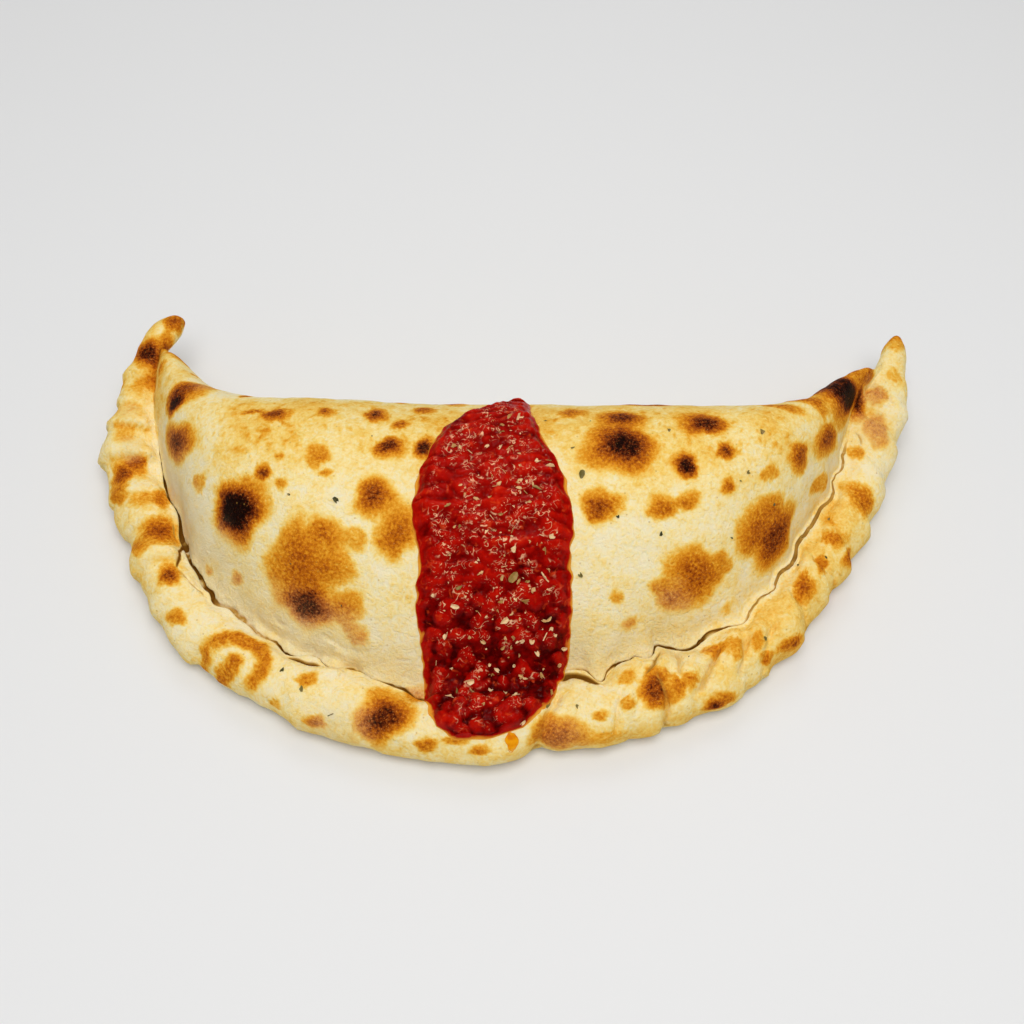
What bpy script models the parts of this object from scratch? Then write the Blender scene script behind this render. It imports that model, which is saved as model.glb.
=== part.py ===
"""A calzone: one disc of pizza dough folded over its filling, sealed along the edge and baked, with
tomato sauce spooned over the top.

The dough is one loft. Each section is a closed outline in an upright plane that runs from the outer
edge of the sealed rim to the fold at the back, and the sections go from the left horn, round the
front, to the right horn. The sauce is a slab that lies over the crown and the rim, cut to the dough
beneath it. Sizes are in millimetres until MM turns them into metres.
"""

import math
from collections import namedtuple

import bmesh
import bpy
from mathutils import Matrix, Vector
from mathutils.bvhtree import BVHTree

MM = 0.001

# The body and its sealed rim
CROWN_HEIGHT = 58.0     # top of the filled body
RIM_HEIGHT = 17.5       # top of the sealed rim along the front
CREASE_SHARE = 0.52     # height of the crease between rim and body, as a share of the rim's height
GROOVE_DEPTH = 2.5      # how far the crease cuts below that
PEAK_SHARE = 0.60       # how far back the crown lies, as a share of the body's depth
FRONT_FULLNESS = 2.4    # how full the front of the body is: 1 is a flat slope
FRONT_CROWDING = 1.35   # how closely the points of the front crowd towards the crease
WAVE_FADE = 0.38        # share of the front over which the waves of the crease fade out
BACK_EDGE_HEIGHT = 11.0  # where the rounded back turns under
UNDERCUT = 0.45         # how far the back turns under, as a share of the body behind the crown
RIM_WIDEST = 0.42       # height at which the rim is widest, as a share of its height
BACK_EDGE_SHARE = 0.35  # the back turns under no higher than this share of the body's height
RIM_SHARE = 0.7         # the rim takes at most this share of a section
LEAST_SLANT = 0.6       # the rim is stretched no more than 1 / 0.6 where a section cuts it at a slant

# Angles round one section, in degrees: where the rim meets the surface and where its top ends, how
# far the back turns under, and where the top of a horn ends and its underside starts.
RIM_FOOT = 235.0
RIM_END = 6.0
BACK_TURN = 75.0
HORN_TOP = 60.0
HORN_UNDERSIDE = -70.0

# The outline. Bearings are in degrees about a point on the fold, 0 at the left end of the folded
# disc, 90 at the front and 180 at the right end. Each station gives the radius of the outer edge,
# the width of the sealed rim, and the place of the fold behind it.
FOLD_MIDDLE = Vector((0.0, 52.0))
Station = namedtuple("Station", "bearing edge rim fold_x fold_y")
STATIONS = (
    Station(-11.0, 130.5, 3.0, -128.0, 72.0),
    Station(-10.2, 137.0, 5.0, -128.5, 69.0),
    Station(-9.0, 140.5, 6.0, -130.0, 65.5),
    Station(-6.5, 143.5, 7.0, -132.5, 62.5),
    Station(-3.5, 145.5, 9.0, -133.5, 60.5),
    Station(-0.5, 147.5, 12.5, -130.5, 57.0),
    Station(5.0, 152.0, 16.0, -122.5, 49.5),
    Station(12.0, 156.0, 19.5, -114.5, 42.0),
    Station(20.0, 157.5, 21.5, -108.0, 37.0),
    Station(30.0, 158.5, 21.5, -99.0, 33.0),
    Station(45.0, 161.5, 21.5, -82.0, 31.0),
    Station(60.0, 161.0, 21.5, -57.0, 31.0),
    Station(75.0, 159.5, 22.5, -29.0, 31.0),
    Station(90.0, 158.0, 25.0, 0.0, 30.0),
    Station(105.0, 155.5, 25.0, 29.0, 28.5),
    Station(120.0, 156.0, 22.0, 57.0, 26.5),
    Station(135.0, 152.5, 20.0, 83.0, 25.5),
    Station(150.0, 151.0, 19.0, 105.0, 27.0),
    Station(160.0, 152.0, 18.0, 116.5, 33.0),
    Station(168.0, 154.0, 18.0, 125.5, 39.0),
    Station(175.0, 157.5, 16.0, 134.5, 44.5),
    Station(179.0, 157.5, 13.0, 141.0, 47.5),
    Station(181.5, 158.5, 10.0, 146.5, 53.0),
    Station(184.0, 160.0, 7.0, 150.5, 62.0),
    Station(185.8, 159.0, 4.0, 154.5, 68.0),
)

# The horns at the two ends curl up off the surface: the bearings where a horn starts to rise, where
# body and rim start to merge, and where they are one round finger; the clearance under the tip; the
# finger's thickness; and the height of the body's ridge where it comes down to the horn.
Horn = namedtuple("Horn", "rise merge finger clearance thickness ridge")
LEFT_HORN = Horn(22.0, 5.0, -7.0, 21.0, 9.5, 34.0)
RIGHT_HORN = Horn(156.0, 175.5, 184.0, 18.0, 9.0, 31.0)
# Bearings past each end of the fold over which the ridge climbs to the crown, the rim climbs to its
# full height and the crease deepens, and the power that shapes the climb of ridge and horn.
RIDGE_CLIMB = (-4.0, 62.0)
RIM_CLIMB = (-5.0, 24.0)
CREASE_CLIMB = (-2.0, 18.0)
CLIMB_POWER = 0.85
TIP_LENGTH = 4.5        # length over which a finger rounds off at its end
TIP_STEPS = (0.02, 0.15, 0.45)  # sections of that round end, as shares of its length

# Waves of the hand-pressed edge and of the crease: bearing, reach in degrees and size.
Wave = namedtuple("Wave", "bearing reach size")
EDGE_WAVES = (
    Wave(6.0, 4.0, -1.5),
    Wave(13.0, 5.0, 2.0),
    Wave(27.5, 5.0, -2.5),
    Wave(45.0, 4.5, 2.0),
    Wave(88.0, 5.0, 2.0),
    Wave(94.5, 3.5, -3.0),
    Wave(118.5, 4.0, 2.0),
    Wave(132.5, 3.5, 1.5),
    Wave(139.5, 4.0, -1.5),
)
CREASE_WAVES = (
    Wave(32.5, 3.0, 1.5),
    Wave(43.5, 4.0, 3.5),
    Wave(55.0, 5.0, 2.0),
    Wave(67.0, 4.0, -1.5),
    Wave(79.0, 6.0, 2.5),
    Wave(99.0, 5.0, -3.0),
    Wave(104.5, 4.0, 4.0),
    Wave(110.0, 4.0, -3.0),
    Wave(119.0, 5.0, 2.0),
    Wave(129.5, 4.5, 4.0),
    Wave(138.0, 5.0, -1.5),
)

# The sauce, row by row from the front to the back, with the left and right end of each row.
Row = namedtuple("Row", "y left right")
SAUCE_ROWS = (
    Row(-102.5, -15.0, -5.0),
    Row(-100.0, -20.0, 4.0),
    Row(-95.0, -24.5, 11.0),
    Row(-88.0, -26.5, 17.0),
    Row(-80.0, -27.0, 20.0),
    Row(-72.0, -28.5, 22.5),
    Row(-62.0, -30.0, 24.5),
    Row(-50.0, -28.5, 23.5),
    Row(-40.0, -31.0, 24.5),
    Row(-30.0, -30.5, 22.5),
    Row(-20.0, -27.5, 19.5),
    Row(-10.0, -24.0, 14.5),
    Row(0.0, -18.5, 12.0),
    Row(7.5, -9.0, 10.5),
    Row(13.0, -2.0, 10.0),
    Row(19.0, 4.0, 9.0),
)
SAUCE_THICKNESS = 3.6
SAUCE_EDGE = 4.0        # how far in from its edge the sauce reaches that thickness
SAUCE_SETTLING = 6.0    # the sauce evens out hollows narrower than about twice this
SAUCE_DEPTH = 4.0       # how deep the slab goes into the dough before it is cut
SAUCE_GAP = 0.3         # clearance between the cut sauce and the dough

# Plain colours, as linear red, green and blue
CRUST_COLOR = (0.72, 0.50, 0.24)
CRUST_ROUGHNESS = 0.75
SAUCE_COLOR = (0.42, 0.02, 0.01)
SAUCE_ROUGHNESS = 0.25

# Facets: sections along the dough, and the points round one section, in order.
SECTIONS = 84
LOWER, RIM_TOP, FRONT, BACK, UNDER, BOTTOM = 3, 12, 14, 9, 3, 6
LINE_SHARE = 0.3        # sections are evenly spaced along the line this far in from the edge
LINE_STEPS = 1500       # steps in which that line is measured
SAUCE_ROW_COUNT = 28
SAUCE_ROW_POINTS = 12
SAUCE_SAMPLES = 5       # places over which the sauce evens out the dough beneath


def ease(value, start, end):
    """0 at start and 1 at end, smooth between and flat beyond. start may be the larger."""
    t = min(1.0, max(0.0, (value - start) / (end - start)))
    return t * t * (3.0 - 2.0 * t)


def spread(first, last, count):
    """Evenly spaced numbers from first to last."""
    return [first + (last - first) * i / (count - 1) for i in range(count)]


def between(start, end, share):
    return start + (end - start) * share


def smooth_curve(at, values, where):
    """The value at one place on a smooth curve through points, which doesn't overshoot them."""
    slopes = [(values[k + 1] - values[k]) / (at[k + 1] - at[k]) for k in range(len(at) - 1)]

    def tangent(k):
        if k in (0, len(slopes)):
            return slopes[min(k, len(slopes) - 1)]
        before, after = slopes[k - 1], slopes[k]
        return 2.0 * before * after / (before + after) if before * after > 0.0 else 0.0

    i = max(k for k in range(len(slopes)) if k == 0 or at[k] <= where)
    width = at[i + 1] - at[i]
    t = (where - at[i]) / width
    start = (2.0 * t**3 - 3.0 * t**2 + 1.0) * values[i] + (t**3 - 2.0 * t**2 + t) * width * tangent(i)
    end = (3.0 * t**2 - 2.0 * t**3) * values[i + 1] + (t**3 - t**2) * width * tangent(i + 1)
    return start + end


def station_value(column, bearing):
    """One column of the stations at any bearing."""
    bearings = [station.bearing for station in STATIONS]
    return smooth_curve(bearings, [getattr(station, column) for station in STATIONS], bearing)


def ripple(waves, bearing):
    """The waves' sum at a bearing."""
    total = 0.0
    for wave in waves:
        t = abs(bearing - wave.bearing) / wave.reach
        if t < 1.0:
            total += wave.size * (1.0 - t * t) ** 2
    return total


def outward(bearing):
    angle = math.radians(bearing)
    return Vector((-math.cos(angle), -math.sin(angle)))


def edge_point(bearing):
    return FOLD_MIDDLE + outward(bearing) * station_value("edge", bearing)


def fold_point(bearing):
    return Vector((station_value("fold_x", bearing), station_value("fold_y", bearing)))


def body_outline(outer, crease, even_crease, depth, rim_height, groove, height):
    """Rim and filled body: points (distance in from the edge, height), from the foot of the rim up
    over the rim, down into the crease, over the body, under the back and along the underside."""
    crease_height = rim_height * (1.0 - (1.0 - CREASE_SHARE) * groove)
    half = (crease - outer) / 2
    middle = outer + half
    widest = RIM_WIDEST * rim_height
    foot = math.radians(RIM_FOOT)
    points = []
    for angle in spread(foot, math.pi, LOWER + 1)[:-1]:
        points.append((middle + half * math.cos(angle), widest * (1.0 - math.sin(angle) / math.sin(foot))))
    for angle in spread(math.pi, math.radians(RIM_END), RIM_TOP):
        base = widest if angle > math.pi / 2 else crease_height
        points.append((middle + half * math.cos(angle), between(base, rim_height, math.sin(angle))))
    points.append((crease, crease_height - GROOVE_DEPTH * groove))

    peak = between(even_crease, depth, PEAK_SHARE)
    for share in spread(0.0, 1.0, FRONT + 1)[1:]:
        along = share**FRONT_CROWDING
        wave = (crease - even_crease) * (1.0 - ease(share, 0.0, WAVE_FADE))
        rise = 1.0 - (1.0 - along) ** FRONT_FULLNESS
        points.append((between(even_crease, peak, along) + wave, between(crease_height, height, rise)))

    turn = min(BACK_EDGE_HEIGHT, BACK_EDGE_SHARE * height)
    for angle in spread(math.pi / 2, 0.0, BACK + 1)[1:]:
        points.append((between(peak, depth, math.cos(angle)), between(turn, height, math.sin(angle))))
    steepest = math.radians(BACK_TURN)
    for angle in spread(0.0, steepest, UNDER + 1)[1:]:
        under = (depth - peak) * UNDERCUT * (1.0 - math.cos(angle))
        points.append((depth - under, turn * (1.0 - math.sin(angle) / math.sin(steepest))))
    for distance in spread(points[-1][0], points[0][0], BOTTOM + 2)[1:-1]:
        points.append((distance, 0.0))
    return points


def finger_outline(middle, half_width, thickness):
    """As many points as body_outline, in the same order, round an oval finger of dough."""
    angles = spread(RIM_FOOT, HORN_TOP, LOWER + RIM_TOP + 1)[:-1]
    angles += spread(HORN_TOP, HORN_UNDERSIDE, 1 + FRONT + BACK + UNDER)
    angles += spread(HORN_UNDERSIDE, RIM_FOOT - 360.0, BOTTOM + 2)[1:-1]
    points = []
    for angle in map(math.radians, angles):
        points.append((middle + half_width * math.cos(angle), thickness / 2 * (1.0 + math.sin(angle))))
    return points


def section(bearing, from_tip):
    """One closed outline of the dough, as points in space. from_tip is the distance to the nearer
    end of the dough."""
    edge = edge_point(bearing)
    inward = fold_point(bearing) - edge
    depth = inward.length
    inward.normalize()
    from_end = min(bearing, 180.0 - bearing)
    left = bearing < 90.0
    horn = LEFT_HORN if left else RIGHT_HORN
    end = STATIONS[0].bearing if left else STATIONS[-1].bearing

    lift = horn.clearance * ease(bearing, horn.rise, end) ** CLIMB_POWER
    merging = ease(bearing, horn.merge, horn.finger)
    ridge = between(horn.ridge, CROWN_HEIGHT, ease(from_end, *RIDGE_CLIMB) ** CLIMB_POWER)
    height = between(ridge - lift, horn.thickness, merging)
    rim_height = between(horn.thickness, RIM_HEIGHT, ease(from_end, *RIM_CLIMB))

    # The section's plane isn't quite square to the rim, so widths across the rim are stretched.
    slant = max(LEAST_SLANT, -outward(bearing).dot(inward))
    outer = -ripple(EDGE_WAVES, bearing) / slant
    rim = station_value("rim", bearing)
    widest_rim = between(outer, depth, RIM_SHARE)
    even_crease = min(rim / slant, widest_rim)
    crease = min((rim - ripple(CREASE_WAVES, bearing)) / slant, widest_rim)

    groove = ease(from_end, *CREASE_CLIMB)
    body = body_outline(outer, crease, even_crease, depth, rim_height, groove, height)
    middle = (outer + depth) / 2
    finger = finger_outline(middle, (depth - outer) / 2, horn.thickness)
    rounding = math.sqrt(1.0 - (1.0 - min(1.0, from_tip / TIP_LENGTH)) ** 2)
    outline = []
    for (body_across, body_up), (finger_across, finger_up) in zip(body, finger):
        across = between(middle, between(body_across, finger_across, merging**2), rounding)
        up = between(body_up, finger_up, merging**2)
        if rounding < 1.0:
            up = between(horn.thickness / 2, up, rounding)
        place = edge + inward * across
        outline.append(Vector((place.x, place.y, lift + up)))
    return outline


def section_places(count):
    """(bearing, distance to the nearer end) of each section: evenly spaced along the dough, with a
    few more where each tip rounds off."""
    bearings = spread(STATIONS[0].bearing, STATIONS[-1].bearing, LINE_STEPS)
    line = [edge_point(bearing).lerp(fold_point(bearing), LINE_SHARE) for bearing in bearings]
    walked = [0.0]
    for before, after in zip(line, line[1:]):
        walked.append(walked[-1] + (after - before).length)
    length = walked[-1]
    cap = [TIP_LENGTH * share for share in TIP_STEPS]
    distances = cap + spread(TIP_LENGTH, length - TIP_LENGTH, count)
    distances += [length - step for step in reversed(cap)]
    places = []
    k = 0
    for distance in distances:
        while walked[k + 1] < distance:
            k += 1
        share = (distance - walked[k]) / (walked[k + 1] - walked[k])
        places.append((between(bearings[k], bearings[k + 1], share), min(distance, length - distance)))
    return places


def sauce_outlines(dough_mesh):
    """Cross-sections of a slab that follows the top of the dough, from the front to the back."""
    bm = bmesh.new()
    bm.from_mesh(dough_mesh)
    tree = BVHTree.FromBMesh(bm)
    bm.free()

    def top_of_dough(x, y):
        hit = tree.ray_cast(Vector((x * MM, y * MM, 1.0)), Vector((0.0, 0.0, -1.0)))[0]
        return hit.z / MM if hit else 0.0

    rows = [row.y for row in SAUCE_ROWS]
    outlines = []
    for y in spread(rows[0], rows[-1], SAUCE_ROW_COUNT):
        left = smooth_curve(rows, [row.left for row in SAUCE_ROWS], y)
        right = smooth_curve(rows, [row.right for row in SAUCE_ROWS], y)
        top = []
        bottom = []
        for x in spread(left, right, SAUCE_ROW_POINTS):
            inset = min(x - left, right - x, y - rows[0], rows[-1] - y) / SAUCE_EDGE
            thickness = SAUCE_THICKNESS * math.sqrt(1.0 - (1.0 - min(1.0, max(0.0, inset))) ** 2)
            steps = spread(-SAUCE_SETTLING, SAUCE_SETTLING, SAUCE_SAMPLES)
            around = [top_of_dough(x, y + step) for step in steps]
            surface = max(sum(around) / len(around), top_of_dough(x, y))
            top.append(Vector((x, y, surface + thickness)))
            bottom.append(Vector((x, y, surface - SAUCE_DEPTH)))
        outlines.append(top + bottom[::-1])
    return outlines


def loft(name, outlines):
    """A closed mesh through outlines of equal length, each end closed by a fan of faces."""
    bm = bmesh.new()
    rows = [[bm.verts.new(point * MM) for point in outline] for outline in outlines]
    count = len(rows[0])
    for row, following in zip(rows, rows[1:]):
        for k in range(count):
            after = (k + 1) % count
            bm.faces.new((row[k], row[after], following[after], following[k]))
    for row in (rows[0], rows[-1]):
        middle = bm.verts.new(sum((vert.co for vert in row), Vector()) / count)
        for k in range(count):
            bm.faces.new((row[k], row[(k + 1) % count], middle))
    bmesh.ops.recalc_face_normals(bm, faces=bm.faces)
    mesh = bpy.data.meshes.new(name)
    bm.to_mesh(mesh)
    bm.free()
    mesh.shade_smooth()
    return mesh


def finish(mesh, name, color, roughness):
    """Gives a mesh a plain material."""
    made = bpy.data.materials.new(name)
    made.use_nodes = True
    shader = made.node_tree.nodes["Principled BSDF"]
    shader.inputs["Base Color"].default_value = (*color, 1.0)
    shader.inputs["Roughness"].default_value = roughness
    mesh.materials.append(made)


def new_collection(name):
    collection = bpy.data.collections.new(name)
    bpy.context.scene.collection.children.link(collection)
    return collection


for old in list(bpy.data.objects):
    bpy.data.objects.remove(old, do_unlink=True)
calzone = new_collection("calzone")
cutters = new_collection("cutters")

dough_mesh = loft("dough", [section(bearing, from_tip) for bearing, from_tip in section_places(SECTIONS)])
finish(dough_mesh, "baked dough", CRUST_COLOR, CRUST_ROUGHNESS)
sauce_mesh = loft("tomato_sauce", sauce_outlines(dough_mesh))
finish(sauce_mesh, "tomato sauce", SAUCE_COLOR, SAUCE_ROUGHNESS)

# The origin is under the middle of the dough, on the surface it rests on.
xs = [vert.co.x for vert in dough_mesh.vertices]
ys = [vert.co.y for vert in dough_mesh.vertices]
to_origin = Matrix.Translation((-(min(xs) + max(xs)) / 2, -(min(ys) + max(ys)) / 2, 0.0))
dough_mesh.transform(to_origin)
sauce_mesh.transform(to_origin)

dough = bpy.data.objects.new("dough", dough_mesh)
sauce = bpy.data.objects.new("tomato_sauce", sauce_mesh)
for obj in (dough, sauce):
    calzone.objects.link(obj)

# A slightly swollen copy of the dough cuts the underside of the sauce.
sauce_bed = bpy.data.objects.new("sauce_bed", dough_mesh.copy())
cutters.objects.link(sauce_bed)
sauce_bed.hide_render = True
sauce_bed.display_type = "WIRE"
swell = sauce_bed.modifiers.new("swell", "DISPLACE")
swell.mid_level = 0.0
swell.strength = SAUCE_GAP * MM
cut = sauce.modifiers.new("cut", "BOOLEAN")
cut.operation = "DIFFERENCE"
cut.solver = "EXACT"
cut.object = sauce_bed
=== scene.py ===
"""A baked calzone: folded pizza dough with a sealed rim and two curled horns, a band of tomato sauce
over the crown, and dried herbs. Sizes are in millimetres until MM turns them into metres."""

import math
import random
from collections import namedtuple

import bmesh
import bpy
import numpy as np
from mathutils import Euler, Matrix, Vector, noise
from mathutils.bvhtree import BVHTree


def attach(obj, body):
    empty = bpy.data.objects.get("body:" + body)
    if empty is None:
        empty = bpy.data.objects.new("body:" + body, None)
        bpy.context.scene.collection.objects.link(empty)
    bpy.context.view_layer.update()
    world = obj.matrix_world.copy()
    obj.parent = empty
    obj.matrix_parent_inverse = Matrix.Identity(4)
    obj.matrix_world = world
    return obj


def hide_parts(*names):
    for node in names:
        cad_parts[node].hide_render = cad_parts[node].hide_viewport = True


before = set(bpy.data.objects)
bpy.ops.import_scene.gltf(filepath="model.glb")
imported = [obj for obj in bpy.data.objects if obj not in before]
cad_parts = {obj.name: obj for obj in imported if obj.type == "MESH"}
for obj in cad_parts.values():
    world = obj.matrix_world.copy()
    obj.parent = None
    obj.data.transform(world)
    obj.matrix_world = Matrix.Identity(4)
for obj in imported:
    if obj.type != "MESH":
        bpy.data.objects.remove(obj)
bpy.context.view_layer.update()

MM = 0.001


# ----------------------------------------------------------
# Baked dough. One disc of wheat dough folded over the filling, its edge pressed shut with the
# fingers into a thick rim, and blistered in a hot stone oven. The solid gives the body its shape;
# here it gets the crooked seam, the pinched rim, the folds and the blisters of the real crust.

def copy_of_node(node, name):
    """A new object with a merged copy of a solid's mesh, in quads where its triangles pair up."""
    bpy.ops.object.select_all(action="DESELECT")
    made = bpy.data.objects.new(name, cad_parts[node].data.copy())
    bpy.context.collection.objects.link(made)
    bpy.context.view_layer.objects.active = made
    made.select_set(True)
    bpy.ops.object.mode_set(mode="EDIT")
    bpy.ops.mesh.select_all(action="SELECT")
    bpy.ops.mesh.remove_doubles(threshold=0.01 * MM)
    bpy.ops.mesh.tris_convert_to_quads()
    bpy.ops.object.mode_set(mode="OBJECT")
    return made


def read_points(mesh):
    """The mesh's points in millimetres."""
    values = np.empty(len(mesh.vertices) * 3)
    mesh.vertices.foreach_get("co", values)
    return values.reshape(-1, 3) / MM


def write_points(mesh, points):
    """Moves the mesh's points to places in millimetres."""
    mesh.vertices.foreach_set("co", (points * MM).ravel())
    mesh.update()


def read_normals(mesh):
    """The normals of the mesh's points."""
    values = np.empty(len(mesh.vertices) * 3)
    mesh.vertex_normals.foreach_get("vector", values)
    return values.reshape(-1, 3)


def tree_of(mesh):
    """A search tree of a mesh, for casting rays at it."""
    bm = bmesh.new()
    bm.from_mesh(mesh)
    tree = BVHTree.FromBMesh(bm)
    bm.free()
    return tree


def drop(tree, x, y):
    """The highest point of a surface over a place, in millimetres, and its normal, or None twice."""
    hit, normal, _, _ = tree.ray_cast(Vector((x * MM, y * MM, 0.2)), Vector((0.0, 0.0, -1.0)))
    return (hit / MM, normal) if hit else (None, None)


def ease(value, start, end):
    """0 at start and 1 at end, smooth between and flat beyond. start may be the larger."""
    t = np.clip((value - start) / (end - start), 0.0, 1.0)
    return t * t * (3.0 - 2.0 * t)


def lumps(points, size, seed):
    """Smooth noise from -1 to 1 with lumps of about one size, at places or along a line."""
    if points.ndim == 1:
        points = points[:, None] * np.array([1.0, 0.0, 0.0])
    return np.array([noise.noise(Vector(p) / size + Vector((seed, 0.0, 0.0))) for p in points])


dough = copy_of_node("dough", "baked_dough")
subdivision = dough.modifiers.new("round", "SUBSURF")
subdivision.levels = 2
subdivision.render_levels = 2
bpy.ops.object.modifier_apply(modifier=subdivision.name)
bpy.ops.object.shade_smooth()

# Bearings are in degrees about the middle of the fold: 0 at the left end, 90 at the front.
FOLD_MIDDLE = (-2.7, 67.85)

# The seam: the lowest place between rim and body, found by walking in over the rim. The floor is
# its height there, and the lip is the rim's height beside it.
SEAM_BEARINGS = np.arange(1.0, 176.5, 0.5)
SEAM_WALK = np.arange(170.0, 105.0, -0.4)  # distances from the middle of the fold, inwards
RIM_EDGE_HEIGHT = 6.0    # the rim's outer edge is the first place that is higher than this
SEAM_EVENING = 4         # bearings on each side over which the line of the seam is evened out
tree = tree_of(dough.data)


def seam_at(bearing):
    """Distance from the middle of the fold to the seam at a bearing, its floor and its lip."""
    right, forward = -math.cos(math.radians(bearing)), -math.sin(math.radians(bearing))
    heights = []
    for out in SEAM_WALK:
        place, _ = drop(tree, FOLD_MIDDLE[0] + right * out, FOLD_MIDDLE[1] + forward * out)
        heights.append(place.z if place else 0.0)
    k = next(i for i, height in enumerate(heights) if height > RIM_EDGE_HEIGHT)
    while heights[k + 1] >= heights[k] or heights[k + 4] >= heights[k]:
        k += 1
    lip = heights[k]
    while heights[k + 1] <= heights[k]:
        k += 1
    return SEAM_WALK[k], heights[k], lip


seam_found = np.array([seam_at(bearing) for bearing in SEAM_BEARINGS])
seam_found = np.pad(seam_found, ((SEAM_EVENING, SEAM_EVENING), (0, 0)), mode="edge")
neighbours = [seam_found[k:k + len(SEAM_BEARINGS)] for k in range(2 * SEAM_EVENING + 1)]
seam_line, seam_floor, seam_lip = np.median(neighbours, axis=0).T

# Folds, cracks and pleats beside it: a line of places, then width, depth and shade, how dark the crease
# is painted, as a brown line and painted shade.
Fold = namedtuple("Fold", "places width depth shade")
FOLDS = [Fold(*row) for row in (
    (((-118.5, -6), (-120.5, -12), (-119.5, -20.5)), 0.42, 0.9, 0.9),
    (((-119.5, -18.5), (-117, -23.5), (-112, -28), (-107.5, -30.5)), 0.5, 0.6, 0.3),
    (((-126, 2.5), (-123.5, -2.5), (-121.5, -7)), 0.4, 0.5, 0.4),
    (((-137, 76), (-138.5, 69), (-139.5, 60)), 0.7, 0.7, 0.2),
    (((-91.5, -38.5), (-80, -47), (-73, -51), (-64, -53.5), (-50, -59.5)), 1.2, 1.5, 0.12),
    (((-84, -41), (-77, -45.5)), 0.7, 0.8, 0.1),
    (((-66, -49), (-57, -53.5), (-47, -56)), 0.8, 0.8, 0.1),
    (((-77.5, -54), (-71, -56.5), (-64, -59.5)), 0.8, 1.8, 1),
    (((16, -62.5), (20, -61.7), (25, -62.5), (31, -66)), 1.1, 2.2, 1.4),
    (((17, -68), (12.5, -77), (9, -86), (8, -99)), 1.5, 3, 0.15),
    (((37.5, -67), (36, -75), (34, -84)), 0.9, 1.5, 0.15),
    (((51.5, -52), (49, -59), (45, -64)), 0.8, 2, 0.4),
    (((49, -60), (52.5, -71), (53.5, -84)), 1.1, 2.2, 0.25),
    (((56.5, -51), (57.5, -57), (56.5, -64)), 0.8, 2, 0.25),
    (((73, -50), (68, -60), (63.5, -70)), 1, 2.2, 0.25),
    (((83, -46), (80, -54), (78, -64)), 1, 2, 0.2),
    (((93, -41), (89, -49), (87, -60)), 1.1, 1.7, 0.05),
    (((99, -30), (104, -35), (107, -42)), 1.1, 1.5, 0.05),
    (((108, -15), (114, -20), (121, -25)), 1.1, 1.4, 0.05),
    (((136, 55), (140, 57.5), (143.5, 54), (148, 47)), 0.8, 1, 0.1),
    (((134, 48), (138.5, 45.5), (143.5, 45.5)), 0.8, 0.9, 0.1),
    (((130, 40.5), (132.5, 37.5), (134, 32)), 0.5, 0.8, 0.3),
)]


def distance_to_line(points, places):
    """Distance in plan from each point to a line through places."""
    nearest = np.full(len(points), 1e9)
    for start, end in zip(places, places[1:]):
        start, end = np.array(start), np.array(end)
        along = end - start
        share = np.clip((points[:, :2] - start) @ along / (along @ along), 0.0, 1.0)
        gap = points[:, :2] - start - share[:, None] * along
        nearest = np.minimum(nearest, np.hypot(gap[:, 0], gap[:, 1]))
    return nearest


def polar(points):
    """Bearing and distance from the middle of the fold."""
    out_x, out_y = points[:, 0] - FOLD_MIDDLE[0], points[:, 1] - FOLD_MIDDLE[1]
    bearing = np.degrees(np.arctan2(-out_y, -out_x))
    return np.where(bearing < -90.0, bearing + 360.0, bearing), np.hypot(out_x, out_y)


def facing(mesh):
    """How far each face looks up: 1 for straight up, -1 for straight down."""
    return np.array([face.normal.z for face in mesh.polygons])


def select_faces(piece, chosen):
    """Enters edit mode with the chosen faces selected."""
    bpy.context.tool_settings.mesh_select_mode = (False, False, True)
    bpy.ops.object.mode_set(mode="EDIT")
    bpy.ops.mesh.select_all(action="DESELECT")
    bpy.ops.object.mode_set(mode="OBJECT")
    piece.data.polygons.foreach_set("select", chosen)
    bpy.ops.object.mode_set(mode="EDIT")


# The underside is plain, so its mesh is made coarser again. Along the seam and the folds, which are
# narrower than the faces, it is cut finer, but not under the sauce.
UNDERSIDE = -0.35        # faces that look down more than this are the underside
SEAM_START, SEAM_END = 3.0, 169.0  # bearings between which the seam shows
UNDER_SAUCE = 8.0        # degrees of bearing on each side of the front that the sauce hides
FINE_REACH = 1.1         # how far from the seam, and from a fold in fold widths
NARROW_FOLD = 0.9        # a fold narrower than this is cut finer further out
NARROW_REACH = 1.4
select_faces(dough, facing(dough.data) < UNDERSIDE)
bpy.ops.mesh.unsubdivide(iterations=2)
bpy.ops.object.mode_set(mode="OBJECT")
centers = np.array([face.center for face in dough.data.polygons]) / MM
bearing, radius = polar(centers)
near = np.abs(radius - np.interp(bearing, SEAM_BEARINGS, seam_line)) < FINE_REACH
near &= (bearing > SEAM_START) & (bearing < SEAM_END) & (np.abs(bearing - 90.0) > UNDER_SAUCE)
for fold in FOLDS:
    reach = NARROW_REACH if fold.width < NARROW_FOLD else FINE_REACH
    near |= distance_to_line(centers, fold.places) < reach * fold.width
select_faces(dough, near & (facing(dough.data) > 0.0))
bpy.ops.mesh.subdivide(number_cuts=2)
bpy.ops.object.mode_set(mode="OBJECT")

points = read_points(dough.data)
normals = read_normals(dough.data)
bearing, radius = polar(points)
to_seam = radius - np.interp(bearing, SEAM_BEARINGS, seam_line)
beside_seam = ease(bearing, 1.0, 4.0) * ease(bearing, 178.0, 174.0) * (normals[:, 2] > -0.6)

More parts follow.
